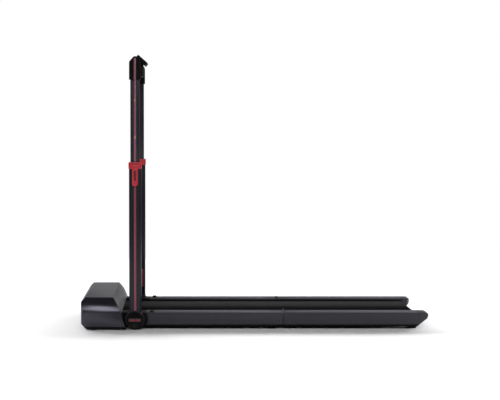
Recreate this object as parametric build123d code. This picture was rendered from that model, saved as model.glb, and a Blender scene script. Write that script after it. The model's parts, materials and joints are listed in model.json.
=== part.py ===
from build123d import *
from math import radians, tan
import os

# Folding treadmill: a motor hood at the front, a thin deck that folds in half towards the
# hood, and a U-shaped handrail on two telescoping posts that fold back beside the deck.
# Millimetres. +X runs from the hood to the tail, +Z is up, the origin is on the floor at the
# middle of the machine. Stations are distances behind the hood's front face.

# ---- driving dimensions -------------------------------------------------------------------
LENGTH = 1444.0           # hood front to tail tip
HOOD_WIDTH = 720.0
WALL = 3.0                # moulded covers
SEAM = 0.5                # shut line between neighbouring covers

# hood
HOOD_TOP = 132.0
HOOD_BOTTOM = 3.0
HOOD_BASE_TOP = 14.0
HOOD_CREST_STA = 131.0    # where the flat top ends
HOOD_KNEE_STA = 172.0     # where the convex slope turns into the straight foot
HOOD_KNEE_Z = 47.0
HOOD_HEEL_STA = 188.0
HOOD_TOP_HALF = 316.0     # half width of the flat top
HOOD_SHOULDER_Z = 101.0   # where the sloping facet would meet the side if nothing were rounded
HOOD_SHOULDER_R = 60.0
THROAT_Z = 66.0           # lower rear edge of the hood over the running belt
THROAT_HALF = 272.0

# deck, both halves
FOLD_STA = 843.5
FOLD_Z = 71.0
FOLD_GAP = 0.5            # each half stops this far from the fold plane
FOLD_SLANT = 4.0          # the seam leans towards the hood at the bottom
RAIL_TOP = 68.0
RAIL_BOTTOM = 10.0
RAIL_INNER = 220.0
RAIL_OUTER = 314.0
RAIL_WALL = 2.5
RAIL_RIB = 266.0
BEAM_IN = 226.0
BEAM_OUT = 268.0
BEAM_BOTTOM = 13.0
BEAM_TOP = 45.0
BEAM_WALL = 2.0
BEAM_FRONT_STA = 118.0
BEAM_TAIL_STA = 1400.0
BOARD_TOP = 57.0
BOARD_HALF = 236.0
BOARD_FRONT_STA = 176.0
BOARD_TAIL_STA = 1364.0
TAIL_CAP_STA = 1405.0
TAIL_HEEL_STA = 1397.0    # where the underside starts to slant up
TAIL_CHIN = (9.0, 40.6)   # end of that slant: distance ahead of the tip, and height
TAIL_NOSE_R = 10.0
TAIL_SWEEP = (14.0, 48.0)   # long inner corner seen from above: along the rail and across it
TAIL_CORNER = 8.0           # short outer corner
TAIL_START_STA = 1377.0     # full section ahead of this

# running gear
ROLLER_R = 18.2
ROLLER_Z = 38.5
ROLLER_HALF = 213.0
AXLE_R = 8.0
FRONT_ROLLER_STA = 145.0
REAR_ROLLER_STA = 1392.0
BELT_IN_R = 18.5
BELT_THICK = 2.0
BELT_HALF = 216.0
RUN_FIT = 0.06            # radial clearance of shafts that turn
PULLEY_Y = (217.5, 225.5)
ROLLER_PULLEY_R = 24.0
MOTOR_PULLEY_R = 12.0
MOTOR_STA = 66.0
MOTOR_Z = 64.0
MOTOR_R = 39.0

# handrail
PIVOT_STA = 223.5
PIVOT_Z = 41.0
HUB_R = 39.0
COVER_R = 53.5            # rim of the pivot cover
RAIL_BITE_R = 54.0        # the rail ends in an arc around the pivot
PIVOT_PIN_R = 12.0
POST_STA = 225.0
POST_Y = 333.5
LOWER_X = 50.5
LOWER_Y = 34.0
LOWER_TOP = 690.0
UPPER_X = 38.5
UPPER_Y = 22.0
UPPER_BOTTOM = 600.0
UPPER_TOP = 1092.0
POST_WALL = 2.5
STRIPE = 9.0
STRIPE_DEPTH = 1.0
COLLAR_Z = (667.0, 694.0)
LEVER_AXIS_Y = 357.5
LEVER_AXIS_Z = 681.0
LEVER_R = 4.5
LEVER_WIDTH = 23.0
LEVER_BOTTOM = 595.0
CAP_X = 48.0
CAP_Y = 32.0
CAP_Z = (1034.0, 1108.0, 1130.0)
DOME_Z = (1098.0, 1113.0)   # where the dome springs from, and its height near the shoulder
BAR_Z = 1078.0
BAR_R = 16.0
GRIP_R = 18.0

# console pod on the crossbar
POD_TOP = (231.0, 1148.0)   # station and height of the upper edge of its face
POD_LENGTH = 52.0
POD_THICK = 16.0
POD_HALF = 95.0
POD_WALL = 3.0
POD_TILT = 41.5
BUTTON_R = 6.5
BUTTON_DOWN = 41.0          # distance of the buttons down the face
BUTTON_Y = (-26.0, 0.0, 26.0)
WINDOW_DOWN = (5.0, 31.0)
WINDOW_HALF = 62.0


# ---- small helpers --------------------------------------------------------------------------
def sta(distance):
    """X of a station, measured back from the hood's front face."""
    return distance - LENGTH / 2


def block(s0, s1, y0, y1, z0, z1):
    """A box between two stations, two widths and two heights."""
    middle = Pos((sta(s0) + sta(s1)) / 2, (y0 + y1) / 2, (z0 + z1) / 2)
    return middle * Box(s1 - s0, y1 - y0, z1 - z0)


def rod_y(station, z, radius, y0, y1):
    """A round bar across the machine."""
    return Pos(sta(station), (y0 + y1) / 2, z) * Rot(90, 0, 0) * Cylinder(radius, y1 - y0)


def rod_x(s0, s1, y, z, radius):
    """A round bar along the machine."""
    return Pos((sta(s0) + sta(s1)) / 2, y, z) * Rot(0, 90, 0) * Cylinder(radius, s1 - s0)


def rod_z(station, y, z0, z1, radius):
    """An upright round bar."""
    return Pos(sta(station), y, (z0 + z1) / 2) * Cylinder(radius, z1 - z0)


def post_prism(size_x, size_y, corner, z0, z1):
    """An upright bar of rounded rectangular section on the right post's centre line."""
    base = Plane(origin=(sta(POST_STA), POST_Y, z0))
    return extrude(base * RectangleRounded(size_x, size_y, corner), amount=z1 - z0)


def side_face(points):
    """A face in the machine's side view from (station, height) points."""
    moved = [(sta(s), z) for s, z in points]
    return make_face(Plane.XZ * Polyline(*moved, close=True))


def side_prism(points, y0, y1):
    """The side view outline through points, from one width to another."""
    return Pos(0, y0, 0) * extrude(side_face(points), amount=y1 - y0, dir=(0, 1, 0))


def left(shape):
    """The same piece on the machine's other side."""
    return mirror(shape, about=Plane.XZ)


def pair(shape):
    """A piece and its mirror image as separate solids."""
    return group([shape, left(shape)])


def group(shapes):
    """Several separate solids in one node."""
    return Compound(children=[solid for shape in shapes for solid in shape.solids()])


# ---- hood --------------------------------------------------------------------------------------
def hood_side(inset):
    """Side outline of the hood, drawn inwards by inset."""
    front = Polyline(
        (sta(HOOD_HEEL_STA), HOOD_BOTTOM),
        (sta(24), HOOD_BOTTOM),
        (sta(0), 27),
        (sta(0), 115),
        (sta(16), HOOD_TOP),
        (sta(HOOD_CREST_STA), HOOD_TOP),
    )
    slope = ThreePointArc(
        (sta(HOOD_CREST_STA), HOOD_TOP),
        (sta(156.5), 93),
        (sta(HOOD_KNEE_STA), HOOD_KNEE_Z),
    )
    foot = Line((sta(HOOD_KNEE_STA), HOOD_KNEE_Z), (sta(HOOD_HEEL_STA), HOOD_BOTTOM))
    face = make_face([front, slope, foot])
    if inset:
        face = offset(face, amount=-inset, kind=Kind.INTERSECTION)
    return Plane.XZ * face


def hood_section(inset):
    """Cross section of the hood: flat top, sloping facets, rounded shoulders, upright sides."""
    half = HOOD_WIDTH / 2
    top = Line((-HOOD_TOP_HALF, HOOD_TOP), (HOOD_TOP_HALF, HOOD_TOP))
    right = FilletPolyline(
        (HOOD_TOP_HALF, HOOD_TOP),
        (half, HOOD_SHOULDER_Z),
        (half, HOOD_BOTTOM),
        (0, HOOD_BOTTOM),
        radius=[HOOD_SHOULDER_R, 6],
    )
    face = make_face([top, right, mirror(right, about=Plane.YZ)])
    if inset:
        face = offset(face, amount=-inset, kind=Kind.INTERSECTION)
    return Plane.YZ * face


def hood_form(inset=0.0):
    """The hood's outer form, or the same form drawn inwards by inset."""
    side = extrude(hood_side(inset), amount=HOOD_WIDTH, both=True)
    section = extrude(hood_section(inset), amount=LENGTH, both=True)
    plan_length = 240.0
    plan = Pos(sta(plan_length / 2 + inset), 0, 0) * RectangleRounded(
        plan_length, HOOD_WIDTH - 2 * inset, 14
    )
    return side & section & extrude(plan, amount=200)


HOOD_SHELL = hood_form() - hood_form(WALL)


def throat():
    """Space under the hood's rear edge for the belt, the beams and the board."""
    return block(120, 210, -THROAT_HALF, THROAT_HALF, HOOD_BASE_TOP, THROAT_Z)


def wheel_wells():
    """Slots through the front corner for the transport wheels."""
    return [block(-2, 56, 289, 311, -2, 32), block(-2, 56, -311, -289, -2, 32)]


def hood_cover():
    part = HOOD_SHELL & block(-5, 200, -HOOD_TOP_HALF, HOOD_TOP_HALF, HOOD_BASE_TOP, 200)
    part = part - throat() - wheel_wells()
    return part - inlet_hole()


def hood_end_cap():
    side = block(-5, 200, HOOD_TOP_HALF + SEAM, 400, HOOD_BASE_TOP, 200)
    return HOOD_SHELL & side


def hood_base():
    part = HOOD_SHELL & block(-5, 200, -400, 400, 0, HOOD_BASE_TOP - SEAM)
    part = part - block(150, 210, -THROAT_HALF, THROAT_HALF, 8, HOOD_BASE_TOP) - wheel_wells()
    ears = []
    for y in (284, 312):
        ears.append(block(24, 36, y, y + 4, HOOD_BOTTOM + WALL - 0.5, 28))
        ears.append(block(24, 36, -y - 4, -y, HOOD_BOTTOM + WALL - 0.5, 28))
    part = part + ears
    return part - [wheel_axle(1), wheel_axle(-1)] - hood_feet()


def hood_feet():
    pads = []
    for station in (66, 160):
        for y in (250, -250):
            pads.append(Pos(sta(station), y, 2.5) * Cylinder(14, 5))
    return pads


def inlet_hole():
    return block(-1, 4, 162, 238, 46, 74)


def inlet_panel():
    """Three pin mains inlet and the rocker switch's frame in one insert, flush with the hood."""
    part = block(0, 2, 162.2, 237.8, 46.2, 73.8) + block(0, 26, 205, 235, 49, 71)
    part = part + block(0, 18, 163, 189, 48, 72)
    part = part - block(-1, 20, 208, 232, 52, 68) - block(-1, 14, 165, 187, 49, 71)
    for y, z in ((213, 57), (227, 57), (220, 63)):
        part = part + block(6, 20.5, y - 1, y + 1, z - 2, z + 2)
    return part + switch_pin()


def switch_rocker():
    """Rocker leaning one way about its pin across the machine."""
    body = rod_y(5.5, 60, 4, 166, 186)
    paddle = Pos(sta(3.4), 176, 60) * Rot(0, -8, 0) * Box(3, 20, 18)
    return body + paddle - switch_pin(RUN_FIT)


def switch_pin(extra=0.0):
    return rod_y(5.5, 60, 1.2 + extra, 163, 189)


# ---- transport wheels -----------------------------------------------------------------------------
def wheel_axle(side):
    y0, y1 = sorted((284 * side, 316 * side))
    return rod_y(30, 22, 4, y0, y1)


def transport_wheel():
    tyre = rod_y(30, 22, 20, 291, 309)
    return tyre - rod_y(30, 22, 4 + RUN_FIT, 280, 320)


# ---- drive ---------------------------------------------------------------------------------------
def motor_can():
    can = rod_y(MOTOR_STA, MOTOR_Z, MOTOR_R, 30, 180)
    bore = rod_y(MOTOR_STA, MOTOR_Z, 26, 36, 174)
    shaft = rod_y(MOTOR_STA, MOTOR_Z, 6 + RUN_FIT, 0, 200)
    return can - bore - shaft


def motor_rotor():
    shaft = rod_y(MOTOR_STA, MOTOR_Z, 6, 20, 226)
    core = rod_y(MOTOR_STA, MOTOR_Z, 24, 50, 160)
    pulley = rod_y(MOTOR_STA, MOTOR_Z, MOTOR_PULLEY_R, *PULLEY_Y)
    flywheel = rod_y(MOTOR_STA, MOTOR_Z, 34, 186, 202)
    return shaft + core + pulley + flywheel


def motor_saddles():
    blocks = []
    for y in (48, 150):
        saddle = block(34, 98, y, y + 16, HOOD_BOTTOM + WALL, 42)
        blocks.append(saddle - rod_y(MOTOR_STA, MOTOR_Z, MOTOR_R, 20, 190))
    return group(blocks)


def pulley_loop(extra, y0, y1):
    """Solid inside a loop round both pulleys, grown by extra."""
    ends = [
        Pos(sta(MOTOR_STA), MOTOR_Z) * CenterArc((0, 0), MOTOR_PULLEY_R + extra, 0, 360),
        Pos(sta(FRONT_ROLLER_STA), ROLLER_Z) * CenterArc((0, 0), ROLLER_PULLEY_R + extra, 0, 360),
    ]
    flat = make_hull([edge for end in ends for edge in end.edges()])
    return Pos(0, y0, 0) * extrude(Plane.XZ * flat, amount=y1 - y0, dir=(0, 1, 0))


def drive_belt():
    y0, y1 = PULLEY_Y[0] + 0.5, PULLEY_Y[1] - 0.5
    return pulley_loop(2.3, y0, y1) - pulley_loop(0.3, y0 - 1, y1 + 1)


def motor_controller():
    """Power board on its finned aluminium plate."""
    plate = block(30, 110, -240, -70, 12, 16)
    fins = [block(34 + 12 * n, 37 + 12 * n, -240, -70, 15.5, 30) for n in range(6)]
    legs = [block(30, 36, y, y + 10, HOOD_BOTTOM + WALL, 12.5) for y in (-236, -84)]
    legs += [block(104, 110, y, y + 10, HOOD_BOTTOM + WALL, 12.5) for y in (-236, -84)]
    return plate + fins + legs


def control_board():
    board = block(32, 108, -236, -74, 32, 33.6)
    capacitors = [rod_z(50 + 22 * n, -110, 33.5, 62, 9) for n in range(3)]
    relay = block(48, 96, -220, -150, 33.5, 50)
    return board + capacitors + relay


# ---- rollers and running belt -----------------------------------------------------------------------
def roller(station, pulley):
    """A tube with end discs bored for its bearings; the drive roller carries a pulley."""
    tube = rod_y(station, ROLLER_Z, ROLLER_R, -ROLLER_HALF, ROLLER_HALF)
    if pulley:
        tube = tube + rod_y(station, ROLLER_Z, ROLLER_PULLEY_R, *PULLEY_Y)
        tube = tube + rod_y(station, ROLLER_Z, ROLLER_R - 0.7, ROLLER_HALF - 1, PULLEY_Y[0] + 1)
    seat = rod_y(station, ROLLER_Z, 15, -ROLLER_HALF - 1, ROLLER_HALF + 20)
    return tube - seat


def roller_bearings(station):
    """A ball bearing, drawn as a ring, in each end of a roller."""
    rings = []
    for y0 in (-ROLLER_HALF + 2, ROLLER_HALF - 12):
        ring = rod_y(station, ROLLER_Z, 15, y0, y0 + 10)
        rings.append(ring - rod_y(station, ROLLER_Z, AXLE_R + RUN_FIT, y0 - 1, y0 + 11))
    return group(rings)


def roller_axle(station):
    return rod_y(station, ROLLER_Z, AXLE_R, -262, 262)


def belt_half(station, end, direction):
    """Half of the running belt: over the board, round its roller and back underneath."""
    outer = BELT_IN_R + BELT_THICK
    low, high = sorted((station, end))
    part = rod_y(station, ROLLER_Z, outer, -BELT_HALF, BELT_HALF)
    part = part + block(low, high, -BELT_HALF, BELT_HALF, ROLLER_Z - outer, ROLLER_Z + outer)
    part = part - rod_y(station, ROLLER_Z, BELT_IN_R, -BELT_HALF - 1, BELT_HALF + 1)
    inner = sorted((station, end + direction))
    z0, z1 = ROLLER_Z - BELT_IN_R, ROLLER_Z + BELT_IN_R
    return part - block(*inner, -BELT_HALF - 1, BELT_HALF + 1, z0, z1)


# ---- deck frame ---------------------------------------------------------------------------------
def beam(s0, s1):
    """Steel box section under one foot rail."""
    outer = block(s0, s1, BEAM_IN, BEAM_OUT, BEAM_BOTTOM, BEAM_TOP)
    w = BEAM_WALL
    inner = block(s0 - 1, s1 + 1, BEAM_IN + w, BEAM_OUT - w, BEAM_BOTTOM + w, BEAM_TOP - w)
    return outer - inner


def front_beam():
    return beam(BEAM_FRONT_STA, FOLD_STA - 6) - roller_axle(FRONT_ROLLER_STA)


def rear_beam():
    slot = block(REAR_ROLLER_STA - 8, REAR_ROLLER_STA + 16, 200, 280, ROLLER_Z - AXLE_R, 46)
    return beam(FOLD_STA + 6, BEAM_TAIL_STA) - slot


def crossmember(station):
    """Steel box section between the beams, under the board and over the returning belt."""
    outer = block(station - 20, station + 20, -BEAM_IN, BEAM_IN, 26, BEAM_TOP)
    return outer - block(station - 18, station + 18, -BEAM_IN - 1, BEAM_IN + 1, 28, BEAM_TOP - 2)


def deck_board(s0, s1):
    return block(s0, s1, -BOARD_HALF, BOARD_HALF, BEAM_TOP, BOARD_TOP)


def rail_section(s0, s1):
    """Foot rail: top plate, outer wall with a groove, bottom flange, inner lip and a rib."""
    w = RAIL_WALL
    part = block(s0, s1, RAIL_INNER, RAIL_OUTER, RAIL_TOP - w, RAIL_TOP)
    part = part + block(s0, s1, RAIL_OUTER - w, RAIL_OUTER, RAIL_BOTTOM, RAIL_TOP)
    part = part + block(s0, s1, RAIL_OUTER - 26, RAIL_OUTER, RAIL_BOTTOM, RAIL_BOTTOM + w)
    part = part + block(s0, s1, RAIL_INNER, RAIL_INNER + w, RAIL_TOP - 7.5, RAIL_TOP)
    part = part + block(s0, s1, RAIL_RIB, RAIL_RIB + w, BEAM_BOTTOM + 4, RAIL_TOP)
    part = part - block(s0, s1, RAIL_RIB - 0.1, BEAM_OUT + 0.1, BEAM_BOTTOM, BEAM_TOP + 0.1)
    return part - block(s0 - 1, s1 + 1, RAIL_OUTER - 1, RAIL_OUTER + 1, RAIL_TOP - 4, RAIL_TOP - 2.4)


def fold_plane_trim(station, s_far):
    """Everything beyond the slanted fold plane through station."""
    low = station - FOLD_SLANT
    z0, z1 = RAIL_BOTTOM - 1, RAIL_TOP + 1
    points = [(station, z1), (low, z0), (s_far, z0), (s_far, z1)]
    return side_prism(points, RAIL_INNER - 5, RAIL_OUTER + 5)


def front_rail():
    part = rail_section(PIVOT_STA, FOLD_STA + 10)
    part = part - rod_y(PIVOT_STA, PIVOT_Z, RAIL_BITE_R, 200, 330)
    part = part - fold_plane_trim(FOLD_STA - FOLD_GAP, FOLD_STA + 20)
    return part - hinge_window(-1)


def rear_rail():
    part = rail_section(FOLD_STA - 10, TAIL_CAP_STA - SEAM)
    part = part - fold_plane_trim(FOLD_STA + FOLD_GAP, FOLD_STA - 20)
    chin = (LENGTH - TAIL_CHIN[0], TAIL_CHIN[1])
    under = [(TAIL_HEEL_STA, 0), (TAIL_HEEL_STA, RAIL_BOTTOM), chin, (LENGTH, 0)]
    part = part - side_prism(under, 200, 330)
    return part - hinge_window(1)


def tail_side(inset):
    """Side outline of the rail's end: flat top, round nose, slanted underside."""
    tip = sta(LENGTH)
    chin = (tip - TAIL_CHIN[0], TAIL_CHIN[1])
    heel = (sta(TAIL_HEEL_STA), RAIL_BOTTOM)
    nose_z = RAIL_TOP - TAIL_NOSE_R
    start = sta(TAIL_START_STA)
    ahead = Polyline(heel, (start, RAIL_BOTTOM), (start, RAIL_TOP), (tip - TAIL_NOSE_R, RAIL_TOP))
    nose = RadiusArc((tip - TAIL_NOSE_R, RAIL_TOP), (tip, nose_z), TAIL_NOSE_R)
    jaw = ThreePointArc((tip, nose_z), (tip - 2.3, nose_z - 9.6), chin)
    face = make_face([ahead, nose, jaw, Line(chin, heel)])
    if inset:
        face = offset(face, amount=-inset, kind=Kind.INTERSECTION)
    return Plane.XZ * face


def tail_plan(inset):
    """Outline of the rail's end from above, swept back at its inner corner."""
    tip = sta(LENGTH)
    start = sta(TAIL_START_STA)
    along, across = TAIL_SWEEP
    sweep = ThreePointArc(
        (tip - along, RAIL_INNER),
        (tip - along / 3, RAIL_INNER + across / 3),
        (tip, RAIL_INNER + across),
    )
    end = Line((tip, RAIL_INNER + across), (tip, RAIL_OUTER - TAIL_CORNER))
    corner = RadiusArc((tip, RAIL_OUTER - TAIL_CORNER), (tip - TAIL_CORNER, RAIL_OUTER), -TAIL_CORNER)
    ahead = Polyline(
        (tip - TAIL_CORNER, RAIL_OUTER),
        (start, RAIL_OUTER),
        (start, RAIL_INNER),
        (tip - along, RAIL_INNER),
    )
    face = make_face([sweep, end, corner, ahead])
    if inset:
        face = offset(face, amount=-inset, kind=Kind.INTERSECTION)
    return face


def tail_form(inset=0.0):
    """Form of a tail cap, or the same form drawn inwards by inset, open towards the rail."""
    side = extrude(tail_side(inset), amount=RAIL_OUTER + 50, both=True)
    form = side & extrude(tail_plan(inset), amount=RAIL_TOP)
    return form & block(TAIL_CAP_STA, LENGTH + 1, RAIL_INNER, RAIL_OUTER, 0, RAIL_TOP)


def tail_cap():
    """Moulded end of a foot rail with a web across it and a plug that fits inside the rail."""
    web = tail_form() & block(TAIL_CAP_STA, TAIL_CAP_STA + RAIL_WALL, RAIL_INNER, RAIL_OUTER, 0, RAIL_TOP)
    plug = block(TAIL_CAP_STA - 12, TAIL_CAP_STA + 1, 272, 311, 36, 65)
    return tail_form() - tail_form(RAIL_WALL) + web + plug


def foot(station, length, top):
    """Rubber foot under a beam."""
    points = [
        (station - length / 2 + 2, 0),
        (station + length / 2 - 2, 0),
        (station + length / 2, 2),
        (station + length / 2, top),
        (station - length / 2, top),
        (station - length / 2, 2),
    ]
    return side_prism(points, BEAM_IN + 6, BEAM_OUT + 18)


def fold_bumper():
    points = [(283, RAIL_TOP), (302, RAIL_TOP), (299, RAIL_TOP + 5.5), (286, RAIL_TOP + 5.5)]
    return side_prism(points, 272, 304)


# ---- fold hinge ----------------------------------------------------------------------------------
HINGE_Y = (238.0, 264.0)
BARREL_R = 4.5
HINGE_PIN_R = 2.5
KNUCKLE = 8.4


def hinge_window(direction):
    """Opening in the rail's top plate for one hinge leaf."""
    s0, s1 = sorted((FOLD_STA - 10 * direction, FOLD_STA + 54.5 * direction))
    return block(s0, s1, HINGE_Y[0] - 1, HINGE_Y[1] + 1, BEAM_TOP + 0.1, RAIL_TOP + 1)


def hinge_leaf(direction, knuckles):
    """A block on the beam with knuckles reaching up to the fold line."""
    s0, s1 = sorted((FOLD_STA + 5.5 * direction, FOLD_STA + 53.5 * direction))
    part = block(s0, s1, *HINGE_Y, BEAM_TOP, RAIL_TOP - 0.1)
    for y0 in knuckles:
        w0, w1 = sorted((FOLD_STA, FOLD_STA + 6 * direction))
        part = part + block(w0, w1, y0, y0 + KNUCKLE, 58, FOLD_Z)
        part = part + rod_y(FOLD_STA, FOLD_Z, BARREL_R, y0, y0 + KNUCKLE)
    radius = HINGE_PIN_R + (RUN_FIT if direction > 0 else 0)
    return part - rod_y(FOLD_STA, FOLD_Z, radius, HINGE_Y[0] - 1, HINGE_Y[1] + 1)


def hinge_pin():
    return rod_y(FOLD_STA, FOLD_Z, HINGE_PIN_R, *HINGE_Y)


# ---- pivot of the handrail ---------------------------------------------------------------------------
def pivot_cover():
    """Moulded cover between the hood and the rail, round the pivot."""
    body = block(160, PIVOT_STA, RAIL_INNER, RAIL_OUTER, RAIL_BOTTOM, RAIL_TOP)
    rim = rod_y(PIVOT_STA, PIVOT_Z, COVER_R, RAIL_INNER, RAIL_OUTER)
    outer = body + (rim & block(160, 300, 200, 330, RAIL_BOTTOM, RAIL_TOP))
    w = RAIL_WALL
    hollow = block(150, 300, RAIL_INNER + w, RAIL_OUTER - w, 0, RAIL_TOP - w)
    part = outer - hollow - block(150, 300, 210, RAIL_INNER + w + 1, 0, RAIL_TOP - 7.5)
    part = part - hood_form(-1.0)
    return part - rod_y(PIVOT_STA, PIVOT_Z, PIVOT_PIN_R + 0.5, 300, 320)


def pivot_bracket():
    """Steel plate that carries the handrail's pivot pin, welded to the beam."""
    plate = block(196, 266, 300, 308, 14, 60)
    arm = block(206, 246, BEAM_OUT, 300.5, 20, 42)
    return plate + arm + rod_y(PIVOT_STA, PIVOT_Z, PIVOT_PIN_R, 300, 332)


# ---- lower handrail --------------------------------------------------------------------------------
def hub():
    """Round pivot casting with a plug that fits inside the lower post."""
    disc = rod_y(PIVOT_STA, PIVOT_Z, HUB_R, POST_Y - LOWER_Y / 2, POST_Y + LOWER_Y / 2)
    plug = post_prism(LOWER_X - 2 * POST_WALL - 0.4, LOWER_Y - 2 * POST_WALL - 0.4, 7, PIVOT_Z, 150)
    part = disc + plug
    part = part - rod_y(PIVOT_STA, PIVOT_Z, PIVOT_PIN_R + RUN_FIT, 310, 333)
    return part - rod_y(PIVOT_STA, PIVOT_Z, 8 + RUN_FIT, 335, 360)


def stripe_strip(face_y, z0, z1, extra=0.0):
    """Coloured inlay flush in a post's outer face."""
    return block(
        POST_STA - STRIPE / 2 - extra, POST_STA + STRIPE / 2 + extra,
        face_y - STRIPE_DEPTH - extra, face_y + 4 * extra, z0, z1,
    )


def lower_post():
    part = post_prism(LOWER_X, LOWER_Y, 9, 50, LOWER_TOP)
    part = part - post_prism(LOWER_X - 2 * POST_WALL, LOWER_Y - 2 * POST_WALL, 7, 40, LOWER_TOP + 1)
    part = part - rod_y(PIVOT_STA, PIVOT_Z, HUB_R + 0.2, 300, 360)
    return part - stripe_strip(POST_Y + LOWER_Y / 2, 40, LOWER_TOP + 1, 0.1)


def lower_stripe():
    strip = stripe_strip(POST_Y + LOWER_Y / 2, 60, COLLAR_Z[0] - 0.2)
    return strip - rod_y(PIVOT_STA, PIVOT_Z, HUB_R + 0.3, 300, 360)


def accent_bar():
    """Plain coloured bar on the post's inner face."""
    y = POST_Y - LOWER_Y / 2
    return block(POST_STA + 8, POST_STA + 16, y - 0.8, y, 112, 193)


def guide_bush():
    """Plastic guide between the two posts."""
    part = post_prism(LOWER_X - 2 * POST_WALL - 0.2, LOWER_Y - 2 * POST_WALL - 0.2, 6.9, 640, LOWER_TOP)
    return part - post_prism(UPPER_X + 0.6, UPPER_Y + 0.6, 5.3, 639, LOWER_TOP + 1)


def clamp_collar():
    """Split collar over the lower post's mouth, with ears for the lever."""
    z0, z1 = COLLAR_Z
    part = post_prism(LOWER_X + 4, LOWER_Y + 4, 11, z0, z1)
    part = part - post_prism(LOWER_X + 0.2, LOWER_Y + 0.2, 9.1, z0 - 1, LOWER_TOP + 0.2)
    part = part - post_prism(UPPER_X + 1, UPPER_Y + 1, 5.5, z0, z1 + 1)
    half = LEVER_WIDTH / 2 + 0.4
    for s0, s1 in ((POST_STA - half - 3.5, POST_STA - half), (POST_STA + half, POST_STA + half + 3.5)):
        ear = rod_x(s0, s1, LEVER_AXIS_Y, LEVER_AXIS_Z, LEVER_R)
        part = part + ear + block(s0, s1, 351, LEVER_AXIS_Y, LEVER_AXIS_Z - 4.5, LEVER_AXIS_Z + 4.5)
    return part - lever_pin() - block(POST_STA - 30, POST_STA - 20, POST_Y - 1, POST_Y + 1, z0 - 1, z1 + 1)


def lever_pin(extra=0.0):
    half = LEVER_WIDTH / 2 + 3.9
    return rod_x(POST_STA - half, POST_STA + half, LEVER_AXIS_Y, LEVER_AXIS_Z, 2 + extra)


def clamp_lever():
    """Flat flip lever with a round tip and a blind slot."""
    y0, y1 = LEVER_AXIS_Y - LEVER_R, LEVER_AXIS_Y + LEVER_R
    half = LEVER_WIDTH / 2
    plate = block(POST_STA - half, POST_STA + half, y0, y1, LEVER_BOTTOM + half, LEVER_AXIS_Z)
    tip = rod_y(POST_STA, LEVER_BOTTOM + half, half, y0, y1)
    barrel = rod_x(POST_STA - half, POST_STA + half, LEVER_AXIS_Y, LEVER_AXIS_Z, LEVER_R)
    slot = block(POST_STA - 4, POST_STA + 4, y1 - 4, y1 + 1, 622, 657)
    slot = slot + rod_y(POST_STA, 622, 4, y1 - 4, y1 + 1) + rod_y(POST_STA, 657, 4, y1 - 4, y1 + 1)
    return plate + tip + barrel - slot - lever_pin(RUN_FIT)


def lock_knob():
    """Round knob over the pivot with a raised bar across it."""
    disc = rod_y(PIVOT_STA, PIVOT_Z, 36, 351, 358)
    spigot = rod_y(PIVOT_STA, PIVOT_Z, 8, 336, 352)
    bar = block(PIVOT_STA - 27, PIVOT_STA + 27, 357, 361, PIVOT_Z - 7.5, PIVOT_Z + 7.5)
    near = block(PIVOT_STA - 24.5, PIVOT_STA - 1.5, 359.5, 361, PIVOT_Z - 5, PIVOT_Z + 5)
    far = block(PIVOT_STA + 1.5, PIVOT_STA + 24.5, 359.5, 361, PIVOT_Z - 5, PIVOT_Z + 5)
    return group([disc + spigot + bar - near - far, near, far])


# ---- upper handrail --------------------------------------------------------------------------------
def upper_post():
    part = post_prism(UPPER_X, UPPER_Y, 5, UPPER_BOTTOM, UPPER_TOP)
    part = part - post_prism(UPPER_X - 2 * POST_WALL, UPPER_Y - 2 * POST_WALL, 3, 0, UPPER_TOP + 1)
    return part - stripe_strip(POST_Y + UPPER_Y / 2, 500, CAP_Z[0], 0.1)


def upper_stripe():
    return stripe_strip(POST_Y + UPPER_Y / 2, UPPER_BOTTOM + 22, CAP_Z[0] - 0.2)


def post_glide():
    """Plastic shoe at the upper post's foot that slides in the lower post."""
    part = post_prism(LOWER_X - 2 * POST_WALL - 0.7, LOWER_Y - 2 * POST_WALL - 0.7, 6.5, 598, 620)
    return part - post_prism(UPPER_X, UPPER_Y, 5, UPPER_BOTTOM, 630)


def top_cap():
    """Moulded head of a post: a box with a domed top, over the post and the crossbar's end."""
    z0, _, z2 = CAP_Z
    spring, shoulder = DOME_Z
    middle, half = sta(POST_STA), CAP_X / 2
    ahead, behind = middle - half, middle + half
    foot_line = Polyline((ahead, spring), (ahead, z0), (behind, z0), (behind, spring))
    dome = Spline(
        (behind, spring),
        (middle + half * 0.8, shoulder),
        (middle, z2),
        (middle - half * 0.8, shoulder),
        (ahead, spring),
        tangents=[(0, 1), (0, -1)],
    )
    side = Plane.XZ * make_face([foot_line, dome])
    part = Pos(0, POST_Y - CAP_Y / 2, 0) * extrude(side, amount=CAP_Y, dir=(0, 1, 0))
    part = part - post_prism(UPPER_X, UPPER_Y, 5, z0 - 1, UPPER_TOP)
    part = part - stripe_strip(POST_Y + CAP_Y / 2, z0 - 1, z2 - 8, 0.1)
    return part - rod_y(POST_STA, BAR_Z, BAR_R, 300, POST_Y - UPPER_Y / 2)


def cap_stripe():
    return stripe_strip(POST_Y + CAP_Y / 2, CAP_Z[0], CAP_Z[2] - 8.2)


def crossbar():
    """Steel tube between the two heads."""
    reach = POST_Y - UPPER_Y / 2
    return rod_y(POST_STA, BAR_Z, BAR_R, -reach, reach) - rod_y(POST_STA, BAR_Z, BAR_R - 2, -400, 400)


def grip():
    """Foam sleeve on one half of the crossbar."""
    part = rod_y(POST_STA, BAR_Z, GRIP_R, 115, 305)
    return part - rod_y(POST_STA, BAR_Z, BAR_R, 100, 310)


# ---- console ------------------------------------------------------------------------------------
POD = Plane(
    origin=(sta(POD_TOP[0]), 0, POD_TOP[1]),
    x_dir=Vector(1, 0, 0).rotate(Axis.Y, POD_TILT),
    z_dir=Vector(0, 0, 1).rotate(Axis.Y, POD_TILT),
)


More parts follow.
